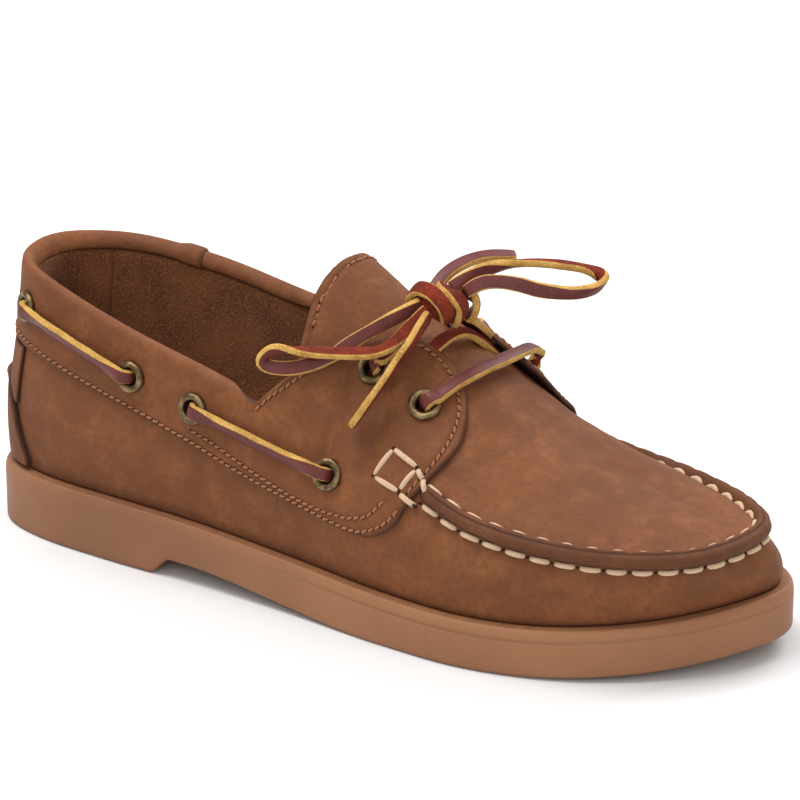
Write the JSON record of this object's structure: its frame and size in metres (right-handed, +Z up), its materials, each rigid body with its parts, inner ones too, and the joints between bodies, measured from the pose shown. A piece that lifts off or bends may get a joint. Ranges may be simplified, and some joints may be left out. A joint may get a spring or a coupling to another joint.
{
  "type": "boat shoe",
  "caption": "Leather boat shoe for the right foot with a moccasin toe seam, side lace through eyelets, a tied bow and a gum rubber sole with a heel.",
  "frame": {"origin": "on the floor under the middle of the sole's outline", "axes": "+X towards the toe, +Y towards the inner side of the foot, +Z up"},
  "size_m": [0.3, 0.107, 0.1207],
  "materials": {
    "upper_leather": "oiled, soft satin",
    "gum_rubber": "satin",
    "insole_suede": "suede, matt",
    "antique_brass": "aged, satin",
    "rawhide_lace": "smooth on top, raw cut edges"
  },
  "bodies": {
    "root": {"outsole": "gum_rubber", "insole": "insole_suede", "upper": "upper_leather", "tongue": "upper_leather", "saddle_outer": "upper_leather", "saddle_inner": "upper_leather", "moc_seam_ridge": "upper_leather", "heel_patch": "upper_leather", "heel_strip": "upper_leather", "eyelet_outer_side_1": "antique_brass", "eyelet_outer_side_2": "antique_brass", "eyelet_outer_side_3": "antique_brass", "eyelet_outer_side_4": "antique_brass", "eyelet_outer_throat_1": "antique_brass", "eyelet_outer_throat_2": "antique_brass", "eyelet_inner_side_1": "antique_brass", "eyelet_inner_side_2": "antique_brass", "eyelet_inner_side_3": "antique_brass", "eyelet_inner_side_4": "antique_brass", "eyelet_inner_throat_1": "antique_brass", "eyelet_inner_throat_2": "antique_brass", "lace_side_outer_rear": "rawhide_lace", "lace_side_outer_front": "rawhide_lace", "lace_side_inner_rear": "rawhide_lace", "lace_side_inner_front": "rawhide_lace", "lace_crossing_rear": "rawhide_lace", "lace_crossing_front": "rawhide_lace", "lace_knot": "rawhide_lace", "lace_loop_outer": "rawhide_lace", "lace_tail_outer": "rawhide_lace", "lace_loop_inner": "rawhide_lace", "lace_tail_inner": "rawhide_lace"}
  },
  "joints": []
}
